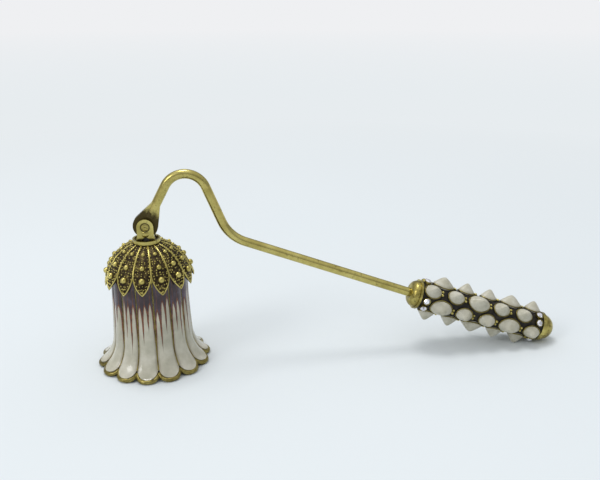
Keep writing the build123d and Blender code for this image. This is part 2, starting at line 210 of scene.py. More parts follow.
def blend_colours(tree, factor, first, second):
    """Mixes two colours, each a value or another node's output."""
    node = add(tree, "ShaderNodeMix", data_type="RGBA")
    for index, value in ((0, factor), (6, first), (7, second)):
        if isinstance(value, bpy.types.NodeSocket):
            tree.links.new(value, node.inputs[index])
        elif index:
            node.inputs[index].default_value = (*value, 1.0)
        else:
            node.inputs[index].default_value = value
    return node.outputs[2]


def bump(tree, height, strength, distance):
    inputs = {"Height": height, "Strength": strength, "Distance": distance}
    return add(tree, "ShaderNodeBump", inputs).outputs["Normal"]


def set_shader(tree, shader, inputs):
    for name, value in inputs.items():
        if isinstance(value, bpy.types.NodeSocket):
            tree.links.new(value, shader.inputs[name])
        elif isinstance(value, tuple):
            shader.inputs[name].default_value = (*value, 1.0)
        else:
            shader.inputs[name].default_value = value


# Finishes

far_floor_colour = (0.799, 0.839, 0.863)
horizon_colour = (0.863, 0.871, 0.888)


def bright_brass():
    """Olive-gold brass, a little mottled, with small dark stains."""
    material, tree, shader = new_finish("bright_brass")
    place = object_place(tree)
    mottle = noise(tree, place, 90.0, 5.0, 0.6)
    stains = noise(tree, place, 420.0, 3.0, 0.7)
    colour = ramp(tree, mottle, [
        (0.30, (0.38, 0.31, 0.085)),
        (0.55, (0.56, 0.475, 0.15)),
        (0.80, (0.68, 0.59, 0.22)),
    ])
    colour = blend_colours(tree, spread(tree, stains, 0.62, 0.74, 0.0, 0.45), colour, (0.16, 0.11, 0.04))
    set_shader(tree, shader, {
        "Base Color": colour,
        "Metallic": 1.0,
        "Roughness": spread(tree, mottle, 0.3, 0.8, 0.34, 0.22),
        "Normal": bump(tree, stains, 0.15, 0.05 * mm),
    })
    return material


def aged_brass(name, tarnish):
    """Brass that is rubbed less: deeper olive, with brown tarnish in patches and a share of it all over."""
    material, tree, shader = new_finish(name)
    place = object_place(tree)
    mottle = noise(tree, place, 260.0, 5.0, 0.6)
    stains = noise(tree, place, 700.0, 3.0, 0.7)
    colour = ramp(tree, mottle, [
        (0.30, (0.19, 0.15, 0.04)),
        (0.50, (0.38, 0.315, 0.09)),
        (0.75, (0.62, 0.54, 0.19)),
    ])
    colour = blend_colours(tree, spread(tree, stains, 0.52, 0.66, tarnish, 0.75), colour, (0.07, 0.048, 0.02))
    set_shader(tree, shader, {
        "Base Color": colour,
        "Metallic": 1.0,
        "Roughness": spread(tree, mottle, 0.3, 0.8, 0.38, 0.22),
        "Normal": bump(tree, stains, 0.25, 0.08 * mm),
    })
    return material


def hinge_brass(name, dark_reach, ring_radius, dark_foot):
    """Brass that is black with patina near the pin and in a ring round the pin's head, and darker low inside the
    collar's rim.
    """
    material, tree, shader = new_finish(name)
    place = object_place(tree)
    mottle = noise(tree, place, 160.0, 5.0, 0.6)
    stains = noise(tree, place, 620.0, 4.0, 0.7)
    colour = ramp(tree, mottle, [
        (0.30, (0.36, 0.30, 0.085)),
        (0.55, (0.52, 0.445, 0.145)),
        (0.80, (0.62, 0.545, 0.21)),
    ])
    from_hinge = calculate_vector(tree, "SUBTRACT", place, hinge)

    # Near the pin, with a ragged edge, and in a ring round its head
    away = in_mm(tree, length_of(tree, calculate_vector(tree, "MULTIPLY", from_hinge, (1.0, 0.0, 1.0))))
    ragged = calculate(tree, "ADD", away, spread(tree, stains, 0.3, 0.7, -1.2, 1.2))
    dark = spread(tree, ragged, dark_reach - 1.2, dark_reach + 1.4, 0.92, 0.0)
    off_ring = calculate(tree, "ABSOLUTE", calculate(tree, "SUBTRACT", away, ring_radius))
    dark = calculate(tree, "MAXIMUM", dark, spread(tree, off_ring, 0.12, 0.42, 0.9, 0.0))

    # Low down inside the collar's rim
    from_axis = in_mm(tree, length_of(tree, calculate_vector(tree, "MULTIPLY", from_hinge, (1.0, 1.0, 0.0))))
    inside = spread(tree, from_axis, collar_radius - 1.1, collar_radius - 0.8, 1.0, 0.0)
    height = in_mm(tree, add(tree, "ShaderNodeSeparateXYZ", {"Vector": place}).outputs["Z"])
    uneven = calculate(tree, "ADD", height, spread(tree, stains, 0.3, 0.7, -0.5, 0.5))
    low = spread(tree, uneven, dark_foot, dark_foot + 0.7, 0.9, 0.0)
    dark = calculate(tree, "MAXIMUM", dark, calculate(tree, "MULTIPLY", inside, low))

    dark = calculate(tree, "MAXIMUM", dark, spread(tree, stains, 0.58, 0.70, 0.0, 0.6))
    set_shader(tree, shader, {
        "Base Color": blend_colours(tree, dark, colour, (0.040, 0.028, 0.014)),
        "Metallic": 1.0,
        "Roughness": spread(tree, dark, 0.0, 1.0, 0.25, 0.50),
        "Normal": bump(tree, stains, 0.2, 0.06 * mm),
    })
    return material


def dark_brass():
    """Brass under a dark patina: nearly black in most places and worn to gold in patches."""
    material, tree, shader = new_finish("dark_brass")
    place = object_place(tree)
    wear = noise(tree, place, 700.0, 4.0, 0.65)
    colour = ramp(tree, wear, [
        (0.42, (0.028, 0.019, 0.011)),
        (0.60, (0.09, 0.065, 0.025)),
        (0.76, (0.36, 0.29, 0.10)),
    ])
    set_shader(tree, shader, {
        "Base Color": colour,
        "Metallic": 0.85,
        "Roughness": spread(tree, wear, 0.4, 0.8, 0.6, 0.35),
        "Normal": bump(tree, wear, 0.5, 0.15 * mm),
    })
    return material


def black_core():
    """The handle's core: blackened brass with a little gold left."""
    material, tree, shader = new_finish("black_core")
    wear = noise(tree, object_place(tree), 600.0, 4.0, 0.65)
    colour = ramp(tree, wear, [
        (0.45, (0.010, 0.008, 0.006)),
        (0.62, (0.028, 0.022, 0.014)),
        (0.80, (0.12, 0.09, 0.04)),
    ])
    set_shader(tree, shader, {
        "Base Color": colour,
        "Metallic": 0.5,
        "Roughness": spread(tree, wear, 0.4, 0.8, 0.55, 0.35),
        "Normal": bump(tree, wear, 0.5, 0.15 * mm),
    })
    return material


def petal_enamel_finish():
    """The petals' enamel: off-white fingers below, dark aubergine above with a painted bluish sheen in patches,
    and rust-brown drips between.
    """
    material, tree, shader = new_finish("petal_enamel")
    place = object_place(tree)
    height = in_mm(tree, add(tree, "ShaderNodeSeparateXYZ", {"Vector": place}).outputs["Z"])
    across = add(tree, "ShaderNodeAttribute", attribute_name="across").outputs["Fac"]
    drips = add(tree, "ShaderNodeAttribute", attribute_name="drips").outputs["Fac"]
    tip = add(tree, "ShaderNodeAttribute", attribute_name="drip_tip").outputs["Fac"]
    top = add(tree, "ShaderNodeAttribute", attribute_name="finger_top").outputs["Fac"]
    wobble = calculate(tree, "SUBTRACT", noise(tree, place, 260.0, 3.0, 0.6), 0.5)
    wobble = calculate(tree, "MULTIPLY", wobble, 0.16)
    out = calculate(tree, "FRACT", calculate(tree, "ADD", drips, wobble))
    out = calculate(tree, "MINIMUM", out, calculate(tree, "SUBTRACT", 1.0, out))
    full_rise = calculate(tree, "SUBTRACT", top, tip)
    rise = calculate(tree, "DIVIDE", calculate(tree, "SUBTRACT", height, tip), full_rise)
    rise = spread(tree, rise, 0.0, 1.0)
    wide = calculate(tree, "MULTIPLY", calculate(tree, "POWER", rise, 6.0), 0.5)
    wide = calculate(tree, "ADD", wide, spread(tree, rise, 0.0, 0.45, -0.06, 0.14))
    depth = calculate(tree, "SUBTRACT", wide, out)
    dark = spread(tree, depth, 0.14, 0.21)
    rust = spread(tree, depth, -0.05, 0.02)
    cloud = noise(tree, place, 150.0, 4.0, 0.55)
    streak = noise(tree, place, 520.0, 3.0, 0.6)
    ripple = noise(tree, place, 330.0, 2.0, 0.5)
    low = ramp(tree, cloud, [
        (0.30, (0.43, 0.41, 0.31)),
        (0.55, (0.57, 0.54, 0.43)),
        (0.75, (0.70, 0.67, 0.57)),
    ])
    high = ramp(tree, cloud, [(0.30, (0.37, 0.35, 0.26)), (0.70, (0.54, 0.51, 0.40))])
    white = blend_colours(tree, spread(tree, height, 5.0, 26.0), low, high)
    # Painted shade in the grooves by the seams, with some brown stain, darkens the white towards the petals' edges
    edge = spread(tree, calculate(tree, "ABSOLUTE", across), 0.74, 1.0, 0.0, 0.6)
    white = blend_colours(tree, edge, white, (0.22, 0.17, 0.10))
    brown = ramp(tree, streak, [(0.35, (0.085, 0.020, 0.007)), (0.65, (0.20, 0.060, 0.018))])
    # The dark aubergine enamel, whose lightest, bluish patches are a painted sheen
    aubergine_and_sheen = ramp(tree, cloud, [
        (0.30, (0.020, 0.010, 0.013)),
        (0.52, (0.048, 0.026, 0.032)),
        (0.75, (0.11, 0.085, 0.13)),
    ])
    drip_middle = blend_colours(tree, spread(tree, height, 22.0, 30.0), brown, aubergine_and_sheen)
    colour = blend_colours(tree, rust, white, brown)
    colour = blend_colours(tree, dark, colour, drip_middle)
    set_shader(tree, shader, {
        "Base Color": colour,
        "Roughness": spread(tree, cloud, 0.3, 0.7, 0.06, 0.13),
        "Normal": bump(tree, ripple, 0.5, 0.22 * mm),
    })
    return material


def stud_enamel_finish():
    """Cream stud enamel: satin, a little speckled and greyer in patches."""
    material, tree, shader = new_finish("stud_enamel")
    place = object_place(tree)
    cloud = noise(tree, place, 240.0, 4.0, 0.6)
    speck = noise(tree, place, 1500.0, 3.0, 0.7)
    colour = ramp(tree, cloud, [
        (0.30, (0.40, 0.38, 0.28)),
        (0.50, (0.50, 0.475, 0.375)),
        (0.75, (0.60, 0.58, 0.49)),
    ])
    colour = blend_colours(tree, spread(tree, speck, 0.60, 0.72, 0.0, 0.6), colour, (0.33, 0.30, 0.22))
    set_shader(tree, shader, {
        "Base Color": colour,
        "Roughness": spread(tree, cloud, 0.3, 0.7, 0.26, 0.42),
        "Normal": bump(tree, speck, 0.35, 0.10 * mm),
    })
    return material


def machined_steel():
    material, tree, shader = new_finish("machined_steel")
    grain = noise(tree, object_place(tree), 900.0, 2.0, 0.5)
    set_shader(tree, shader, {
        "Base Color": ramp(tree, grain, [(0.3, (0.42, 0.42, 0.42)), (0.7, (0.60, 0.60, 0.59))]),
        "Metallic": 1.0,
        "Roughness": spread(tree, grain, 0.3, 0.7, 0.30, 0.42),
    })
    return material


def crystal_glass():
    material, tree, shader = new_finish("crystal_glass")
    tint = noise(tree, object_place(tree), 260.0, 2.0, 0.5)
    set_shader(tree, shader, {
        "Base Color": ramp(tree, tint, [(0.3, (0.74, 0.72, 0.78)), (0.7, (0.98, 0.97, 0.99))]),
        "Metallic": 0.9,
        "Roughness": 0.08,
        "IOR": 1.8,
    })
    return material


def floor_finish():
    """A pale matt floor that keeps soft shadows near the object and glows evenly far behind it."""
    material, tree, shader = new_finish("floor_finish")
    place = object_place(tree)
    grain = noise(tree, place, 3.0, 2.0, 0.5)
    colour = ramp(tree, grain, [(0.3, (0.73, 0.77, 0.785)), (0.7, (0.75, 0.79, 0.805))])
    set_shader(tree, shader, {"Base Color": colour, "Roughness": 0.85, "Specular IOR Level": 0.2})
    away = length_of(tree, place)
    far = spread(tree, away, 0.18, 0.60)
    haze = blend_colours(tree, spread(tree, away, 0.9, 3.0), far_floor_colour, horizon_colour)
    glow = add(tree, "ShaderNodeEmission", {"Color": haze, "Strength": 1.0})
    mixed = add(tree, "ShaderNodeMixShader", {0: far, 1: shader.outputs[0], 2: glow.outputs[0]})
    tree.links.new(mixed.outputs[0], tree.nodes["Material Output"].inputs["Surface"])
    return material


def coat(piece, material):
    """Gives a piece one material in place of all that it has."""
    piece.data.materials.clear()
    piece.data.materials.append(material)


brass = bright_brass()
aged = aged_brass("aged_brass", 0.0)
tarnished = aged_brass("tarnished_brass", 0.40)
rod_brass = hinge_brass("rod_brass", 7.0, 0.0, 0.0)
collar_brass = hinge_brass("collar_brass", -4.0, 1.75, collar_height + 1.6)
drip_enamel = petal_enamel_finish()
stud_cream = stud_enamel_finish()
patina = dark_brass()
steel = machined_steel()
glass = crystal_glass()

node_finish = {
    "swan_neck_rod": rod_brass,
    "hinge_collar": collar_brass,
    "hinge_pin": aged,
    "handle_core": black_core(),
    "ferrule": aged,
    "end_cap": aged,
    "front_crystal_settings": aged,
    "end_crystal_settings": aged,
}
slot_finish = {
    "brass": brass,
    "dark_brass": patina,
    "white_enamel": drip_enamel,
    "stud_enamel": stud_cream,
    "steel": steel,
    "crystal": glass,
}
for row in frame["record"]["subparts"]:
    coat(nodes[row["node"]], node_finish.get(row["node"], slot_finish[row["material_slot"]]))


# Helpers for making pieces

def nothing_selected():
    bpy.ops.object.select_all(action="DESELECT")


def only(piece):
    """Selects one piece alone and makes it the active one."""
    nothing_selected()
    piece.select_set(True)
    bpy.context.view_layer.objects.active = piece


def made(name):
    """Names the object that an operator has just added, and its mesh."""
    piece = bpy.context.object
    piece.name = name
    piece.data.name = name
    return piece


def apply_modifier(piece, kind, **settings):
    only(piece)
    modifier = piece.modifiers.new(kind.lower(), kind)
    for name, value in settings.items():
        setattr(modifier, name, value)
    bpy.ops.object.modifier_apply(modifier=modifier.name)


def smooth(piece, angle=None):
    """Shades a piece smooth, all over or only up to an angle between faces."""
    only(piece)
    if angle is None:
        bpy.ops.object.shade_smooth()
    else:
        bpy.ops.object.shade_smooth_by_angle(angle=radians(angle))


def draped_grid(name, columns, rows, place):
    """A grid of quads laid where place(across, along) says; both run from 0 to 1."""
    nothing_selected()
    bpy.ops.mesh.primitive_grid_add(x_subdivisions=columns, y_subdivisions=rows, size=2.0)
    piece = made(name)
    shares = []
    for vertex in piece.data.vertices:
        share = ((vertex.co.x + 1) / 2, (vertex.co.y + 1) / 2)
        shares.append(share)
        vertex.co = place(*share)
    return piece, shares


def faces_outwards(piece):
    """Turns a sheet's faces away from the bell's axis, where they look towards it."""
    piece.data.update()
    level = Vector((1, 1, 0))
    facing = sum(face.normal.dot((face.center - bell_axis) * level) for face in piece.data.polygons)
    if facing < 0:
        only(piece)
        bpy.ops.object.mode_set(mode="EDIT")
        bpy.ops.mesh.select_all(action="SELECT")
        bpy.ops.mesh.flip_normals()
        bpy.ops.object.mode_set(mode="OBJECT")


def turned_shape(name, rings, segments):
    """A turned solid along +Z: a disc extruded up through (radius, height) rings."""
    nothing_selected()
    radius, height = rings[0]
    foot = (0, 0, height)
    bpy.ops.mesh.primitive_circle_add(vertices=segments, radius=radius, fill_type="NGON", location=foot)
    piece = made(name)
    bpy.ops.object.transform_apply(location=True, rotation=False, scale=False)
    bpy.ops.object.mode_set(mode="EDIT")
    bpy.ops.mesh.select_all(action="SELECT")
    for next_radius, next_height in rings[1:]:
        bpy.ops.mesh.extrude_region_move(TRANSFORM_OT_translate={"value": (0, 0, next_height - height)})
        share = next_radius / radius
        bpy.ops.transform.resize(value=(share, share, 1.0))
        radius, height = next_radius, next_height
    bpy.ops.mesh.select_all(action="SELECT")
    bpy.ops.mesh.normals_make_consistent(inside=False)
    bpy.ops.object.mode_set(mode="OBJECT")
    return piece


def wires(name, routes, radius, sides=3, closed=False):
    """Round wires along routes of (point, thickness share) pairs, made into one mesh."""
    line = bpy.data.curves.new(name, "CURVE")
    line.dimensions = "3D"
    line.bevel_depth = radius * mm
    line.bevel_resolution = sides
    line.use_fill_caps = not closed
    for route in routes:
        spline = line.splines.new("POLY")
        spline.points.add(len(route) - 1)
        spline.use_cyclic_u = closed
        for spot, (point, share) in zip(spline.points, route):
            spot.co = (*point, 1.0)
            spot.radius = share
    piece = bpy.data.objects.new(name, line)
    bpy.context.scene.collection.objects.link(piece)
    only(piece)
    bpy.ops.object.convert(target="MESH")
    piece = bpy.context.object
    smooth(piece)
    return piece


def copied(piece, name, place):
    """A copy of a piece with its own mesh, moved by a matrix."""
    twin = piece.copy()
    twin.data = piece.data.copy()
    twin.name = name
    twin.data.name = name
    twin.data.transform(place)
    bpy.context.scene.collection.objects.link(twin)
    return twin


def joined(name, pieces):
    nothing_selected()
    for piece in pieces:
        piece.select_set(True)
    bpy.context.view_layer.objects.active = pieces[0]
    if len(pieces) > 1:
        bpy.ops.object.join()
    return made(name)


def fitted(piece, body_node, slot, material, *replaced):
    """Hangs a finished piece on its body, hides the solids it takes over, and gives it its finish."""
    if material:
        coat(piece, material)
    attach(piece, body_node)
    if replaced:
        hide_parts(*replaced)


def ramp_share(value, low, high):
    """0 below low, 1 above high and smooth between."""
    share = min(max((value - low) / (high - low), 0.0), 1.0)
    return share * share * (3 - 2 * share)


# Bell: casting, enamel petals, gold seams and gold lips

def smooth_line(points, steps):
    """Rows of distance run, radius, height and outward normal along a smooth line through points."""
    ends = [points[0]] + points + [points[-1]]
    line = []
    for before, start, end, after in zip(ends, ends[1:], ends[2:], ends[3:]):
        for step in range(steps):
            share = step / steps
            weights = (
                (-share + 2 * share**2 - share**3) / 2,
                (2 - 5 * share**2 + 3 * share**3) / 2,
                (share + 4 * share**2 - 3 * share**3) / 2,
                (share**3 - share**2) / 2,
            )
            corners = (before, start, end, after)
            line.append(Vector((
                sum(weight * corner[0] for weight, corner in zip(weights, corners)),
                sum(weight * corner[1] for weight, corner in zip(weights, corners)),
            )))
    line.append(Vector(points[-1]))
    rows = []
    run = 0.0
    for index, spot in enumerate(line):
        if index:
            run += (spot - line[index - 1]).length
        way = line[min(index + 1, len(line) - 1)] - line[max(index - 1, 0)]
        way.normalize()
        rows.append((run, spot.x, spot.y, -way.y, way.x))
    return rows


def at_distance(rows, distance):
    """Radius, height and outward normal at a distance along a smooth line."""
    for first, second in zip(rows, rows[1:]):
        if second[0] >= distance:
            share = (distance - first[0]) / (second[0] - first[0])
            return [low + (high - low) * share for low, high in zip(first[1:], second[1:])]
    return list(rows[-1][1:])


def at_radius(rows, radius):
    """Distance along the flare at which the wall has reached a radius."""
    for first, second in zip(rows, rows[1:]):
        if second[1] >= radius and second[2] < flare_line[0][1] + 1:
            share = (radius - first[1]) / (second[1] - first[1])
            return first[0] + (second[0] - first[0]) * share
    return rows[-1][0]


wall_points = []
for step in range(4):
    down = step / 4
    wall_points.append((
        shell_top_radius + shell_widening * down**2,
        shell_top_height - (shell_top_height - flare_line[0][1]) * down,
    ))
wall_rows = smooth_line(wall_points + flare_line, 10)

lobe_side = notch_radius * cos(half_petal)
lobe_centre = (tip_radius**2 - notch_radius**2) / (2 * (tip_radius - lobe_side))
lobe_radius = tip_radius - lobe_centre


def lobe_edge(angle):
    """Radius of the bell's scalloped edge at an angle from a petal's middle."""
    return lobe_centre * cos(angle) + sqrt(max(lobe_radius**2 - (lobe_centre * sin(angle)) ** 2, 0.0))


def round_bell(radius, angle, height):
    return bell_axis + Vector((radius * cos(angle), radius * sin(angle), height)) * mm


def over_wall(angle, distance, lift):
    """Radius and height over the bell's outside, at an angle from a petal's middle."""
    radius, height, out, up = at_distance(wall_rows, distance)
    share = angle / half_petal
    dish = dish_depth * ramp_share(radius, 18.0, 23.0) * (1 - share**2)
    radius -= flute_depth * share**2
    return radius + out * (lift - dish), height + up * (lift - dish)


def petal_surface(index, angle, distance, lift):
    radius, height = over_wall(angle, distance, lift)
    return round_bell(radius, petal_turn + index * petal_pitch + angle, height)


casting_outside = 34
casting_inside = 20
casting_rows = casting_outside + casting_inside + 4


def casting_place(around, along):
    """Down the bell's outside, round its lip, up its inside and back to its top edge."""
    turn = around * 2 * pi
    angle = (turn + half_petal) % petal_pitch - half_petal
    edge = at_radius(wall_rows, lobe_edge(angle) - rim_inset)
    row = round(along * casting_rows)
    if row <= casting_outside:
        radius, height = over_wall(angle, edge * row / casting_outside, 0.0)
    elif row <= casting_outside + 2:
        radius, height = over_wall(angle, edge + rim_step, -rim_drop * (row - casting_outside))
    elif row < casting_rows:
        distance = edge * (1 - (row - casting_outside - 3) / casting_inside)
        radius, height, out, up = at_distance(wall_rows, distance)
        radius -= out * casting_wall
        height -= up * casting_wall
        if height > bore_foot_height:
            radius = bore_radius
        radius = max(radius, bore_radius)
    else:
        radius, height = over_wall(angle, 0.0, 0.0)
    return round_bell(radius, petal_turn + turn, height)


casting, _ = draped_grid("bell_casting", petal_count * 12, casting_rows, casting_place)
bpy.ops.object.mode_set(mode="EDIT")
bpy.ops.mesh.select_all(action="SELECT")
bpy.ops.mesh.remove_doubles(threshold=0.002 * mm)
bpy.ops.mesh.normals_make_consistent(inside=False)
bpy.ops.object.mode_set(mode="OBJECT")
smooth(casting, 50)
fitted(casting, "bell", "brass", aged, "bell_shell")

enamel_start = shell_top_height - enamel_top


def enamel_place(across, along):
    """One petal's enamel, which stops short of the seams and of the lip and thins out at its edges."""
    share = across * 2 - 1
    angle = share * half_petal * 0.97
    end = at_radius(wall_rows, lobe_edge(angle) - enamel_lip)
    distance = enamel_start + (end - enamel_start) * (1 - (1 - along) ** 1.15)
    radius, _ = over_wall(angle, distance, 0.0)
    angle = share * (half_petal - seam_half_width / radius)
    edge = max(abs(share) ** 6, ramp_share(along, 0.9, 1.0) ** 2)
    return petal_surface(0, angle, distance, enamel_thickness * (1 - 0.35 * edge))


petal, petal_shares = draped_grid("enamel_petal_01", 16, 56, enamel_place)
faces_outwards(petal)


def paint_petal(piece):
    """Stores where each corner lies across the petal, how low its drip runs and how high its finger.

    The whole numbers of the value named drips are the middles of the drips.
    """
    fingers = dice.choice((2, 3, 3))
    tips = [dice.uniform(7.0, 21.0) for _ in range(fingers + 1)]
    tops = [dice.uniform(30.0, 35.5) for _ in range(fingers)]
    values = {"across": [], "drips": [], "drip_tip": [], "finger_top": []}
    for across, _ in petal_shares:
        place = across * fingers
        values["across"].append(across * 2 - 1)
        values["drips"].append(place)
        values["drip_tip"].append(tips[round(place)])
        values["finger_top"].append(tops[min(int(place), fingers - 1)])
    for name, numbers in values.items():
        attribute = piece.data.attributes.new(name, "FLOAT", "POINT")
        attribute.data.foreach_set("value", numbers)


def turn_round_bell(angle):
    return Matrix.Translation(bell_axis) @ Matrix.Rotation(angle, 4, "Z") @ Matrix.Translation(-bell_axis)


tiles = [petal]
for index in range(1, petal_count):
    tiles.append(copied(petal, f"enamel_petal_{index + 1:02d}", turn_round_bell(index * petal_pitch)))

# The petals are painted from the second to the last, and the first one after them
for index in (*range(1, petal_count), 0):
    tile = tiles[index]
    paint_petal(tile)
    apply_modifier(tile, "SOLIDIFY", thickness=tile_depth * mm, offset=-1.0)
    smooth(tile, 60)
    fitted(tile, "bell", "white_enamel", drip_enamel, f"petal_enamel_{index + 1:02d}")

seams = []
lips = []
for index in range(petal_count):
    edge = at_radius(wall_rows, notch_radius - 0.6)
    route = []
    for step in range(31):
        distance = seam_start + (edge - seam_start) * step / 30
        spot = petal_surface(index, half_petal, distance, seam_lift)
        route.append((spot, 1.0 + 0.6 * ramp_share(step, 20, 30)))
    seams.append(route)
    route = []
    for step in range(17):
        share = step / 8 - 1
        angle = share * half_petal
        rim = lobe_edge(angle)
        _, height = over_wall(angle, at_radius(wall_rows, rim), 0.0)
        middle = max(height - lip_wire_drop, lip_wire_lowest)
        spot = round_bell(rim - rim_inset, petal_turn + index * petal_pitch + angle, middle)
        route.append((spot, 1.0 - 0.18 * abs(share) ** 3))
    lips.append(route)
fitted(wires("petal_seams", seams, seam_wire_radius), "bell", "brass", tarnished)
fitted(wires("petal_lips", lips, lip_wire_radius, 5), "bell", "brass", tarnished)


# Calyx: fourteen leaves with wire edges, grains and beads

leaf_reach = dome_flat_radius + sqrt(dome_arc_radius**2 - (dome_centre_height - leaf_tip_height) ** 2)
notch_half = leaf_reach * sin(half_petal) - leaf_tip_width / 2
notch_top = leaf_tip_height + leaf_notch_height


def notch_opening(height):
    """Half of the gap between two leaves at a height, from their split down to their tips."""
    down = (notch_top - height) / leaf_notch_height
    if down <= 0:
        return 0.0
    middle = 1 - leaf_edge_shares[1]
    lean = (leaf_edge_shares[0] / middle - 1) / (middle - 1)
    return notch_half * down * (1 + lean * (down - 1))


leaf_start = asin((leaf_hole_radius - dome_flat_radius) / dome_arc_radius)
leaf_end = pi / 2 + asin((dome_centre_height - leaf_tip_height) / dome_arc_radius)
leaf_span = leaf_end - leaf_start
wire_angle = asin((collar_radius + 0.15 - dome_flat_radius) / dome_arc_radius)
wire_start = (wire_angle - leaf_start) / leaf_span
leaf_lengths = [0.0, 1.0, 0.3, 0.8, 0.0, 0.6, 0.2, 1.1, 0.1, 0.9, 0.3, 0.7, 0.0, 0.8]
leaf_lifts = [0.9, 0.3, 1.1, 0.5, 0.8, 0.2, 1.0, 0.4, 0.9, 0.3, 0.7, 0.4, 1.1, 0.5]


def leaf_point(index, share, along, lift=0.0):
    """A point on a leaf: share runs across from -1 to 1, along from the collar to the tip."""
    angle = leaf_start + leaf_span * along
    radius = dome_flat_radius + (dome_arc_radius + lift) * sin(angle)
    height = dome_centre_height + (dome_arc_radius + lift) * cos(angle)
    flat_height = dome_centre_height + dome_arc_radius * cos(angle)
    half = radius * sin(half_petal) - notch_opening(flat_height)
    side = share * half
    free = ramp_share(notch_top + 1.0 - flat_height, 0.0, leaf_notch_height + 1.0)
    radius += leaf_lifts[index] * free
    height -= leaf_lengths[index] * free
    radius = sqrt(max(radius**2 - side**2, 0.0))
    turn = petal_turn + index * petal_pitch
    spot = Vector((radius * cos(turn) - side * sin(turn), radius * sin(turn) + side * cos(turn), height))
    return bell_axis + spot * mm


def leaf_surface(index):
    """Where one leaf's grid lies: raised along its middle."""
    def place(across, along):
        share = across * 2 - 1
        return leaf_point(index, share, along, leaf_swell * (1 - share**2))
    return place


leaves = []
for index in range(petal_count):
    leaf, _ = draped_grid(f"leaf_{index}", 8, 36, leaf_surface(index))
    faces_outwards(leaf)
    apply_modifier(leaf, "SOLIDIFY", thickness=leaf_depth * mm, offset=-1.0)
    leaves.append(leaf)
calyx = joined("calyx_leaves", leaves)
smooth(calyx, 50)
fitted(calyx, "bell", "dark_brass", patina, "calyx_cap")

edges = []
for index in range(petal_count):
    down = [wire_start + (0.99 - wire_start) * step / 28 for step in range(29)]
    route = [(leaf_point(index, -0.97, along, leaf_wire_lift), 1.0) for along in down]
    route += [(leaf_point(index, 0.0, 1.015, leaf_wire_lift), 1.0)]
    route += [(leaf_point(index, 0.97, along, leaf_wire_lift), 1.0) for along in reversed(down)]
    edges.append(route)
fitted(wires("leaf_wires", edges, leaf_wire_radius), "bell", "brass", brass)

grain = turned_shape("grain", [(0.55, -0.5), (0.95, -0.1), (0.93, 0.25), (0.6, 0.72), (0.15, 0.92)], 7)
smooth(grain)
grains = []
bead_shares = [(radians(angle) - leaf_start) / leaf_span for angle in bead_angles]
for index in range(petal_count):
    along = wire_start + 0.04
    while along < 0.985:
        half = max(0.2, 0.78 - 0.55 * ramp_share(along, 0.86, 1.0))
        count = 5 if along > 0.45 else 3
        for place in range(count):
            share = half * (place / (count - 1) * 2 - 1) + dice.uniform(-0.11, 0.11)
            spot = leaf_point(index, share, along + dice.uniform(-0.013, 0.013), grain_lift)
            size = dice.uniform(0.22, 0.38)
            clear = True
            for bead_share, bead_radius in zip(bead_shares, bead_radii):
                bead = leaf_point(index, 0.0, bead_share, 0.3)
                if (spot - bead).length < (bead_radius + grain_gap) * mm:
                    clear = False
            if clear:
                outward = (spot - bell_axis - Vector((0, 0, dome_centre_height - 6)) * mm).normalized()
                turn = outward.to_track_quat("Z", "Y").to_matrix().to_4x4()
                place_matrix = Matrix.Translation(spot) @ turn @ Matrix.Scale(size * mm, 4)
                grains.append(copied(grain, f"grain_{len(grains)}", place_matrix))
        along += grain_step_share
fitted(joined("leaf_grains", grains), "bell", "brass", brass)
bpy.data.objects.remove(grain)

for name, along, radius in zip(bead_names, bead_shares, bead_radii):
    nothing_selected()
    bpy.ops.mesh.primitive_uv_sphere_add(segments=20, ring_count=12, radius=radius * mm)
    bead = made("bead")
    smooth(bead)
    ring = []
    for index in range(petal_count):
        spot = Matrix.Translation(leaf_point(index, 0.0, along, radius * 0.35))
        ring.append(copied(bead, f"bead_{index}", spot))
    bpy.data.objects.remove(bead)
    fitted(joined(f"leaf_beads_{name}", ring), "bell", "brass", brass, f"calyx_beads_{name}")

seat = turned_shape("collar_seat", [
    (collar_radius - 0.5, collar_height - 0.9),
    (collar_radius - 0.3, collar_height - 0.6),
    (collar_radius - 0.3, collar_height + 0.1),
], 64)
seat.data.transform(Matrix.Translation(bell_axis) @ Matrix.Scale(mm, 4))
smooth(seat, 40)
fitted(seat, "bell", "brass", aged)


# Handle: studs with gold bezels and links between them

handle_matrix = Matrix.Translation(handle_start) @ Matrix.Rotation(handle_tilt, 4, "Y")


def row_matrix(row, station):
    """Turns a piece that stands along +Z to a row's place round the handle, at a station along it."""
    turn = pi - row_first_angle + row * 2 * pi / row_count
    return handle_matrix @ Matrix.Translation((station * mm, 0, 0)) @ Matrix.Rotation(turn, 4, "X")


def core_height(side):
    return sqrt(max(core_radius**2 - side**2, 0.0))


stud_rings = [
    (1.0, 0.0), (1.0, 0.55), (0.985, 0.85), (0.935, 1.15), (0.85, 1.5), (0.745, 1.92), (0.635, 2.37),
    (0.53, 2.80), (0.43, 3.20), (0.325, 3.57), (0.215, 3.88), (0.11, 4.10), (0.03, 4.19),
]


def enamel_stud(name, half_length, half_width):
    """A pointed oval dome of enamel, turned round and then drawn out along the handle."""
    piece = turned_shape(name, stud_rings, 40)
    for vertex in piece.data.vertices:
        height = vertex.co.z
        lump = 1 + 0.012 * sin(3 * vertex.co.x + 5 * vertex.co.y)
        x = vertex.co.x * (half_length - stud_inset) * lump
        y = vertex.co.y * (half_width - stud_inset) * lump
        drop = core_radius - core_height(y)
        if height < stud_skirt_height:
            base = core_radius - drop - stud_skirt_sink
        else:
            base = core_radius - drop * 0.6 * (1 - height / stud_rise)
        vertex.co = Vector((x, y, base + height)) * mm
    smooth(piece, 60)
    return piece


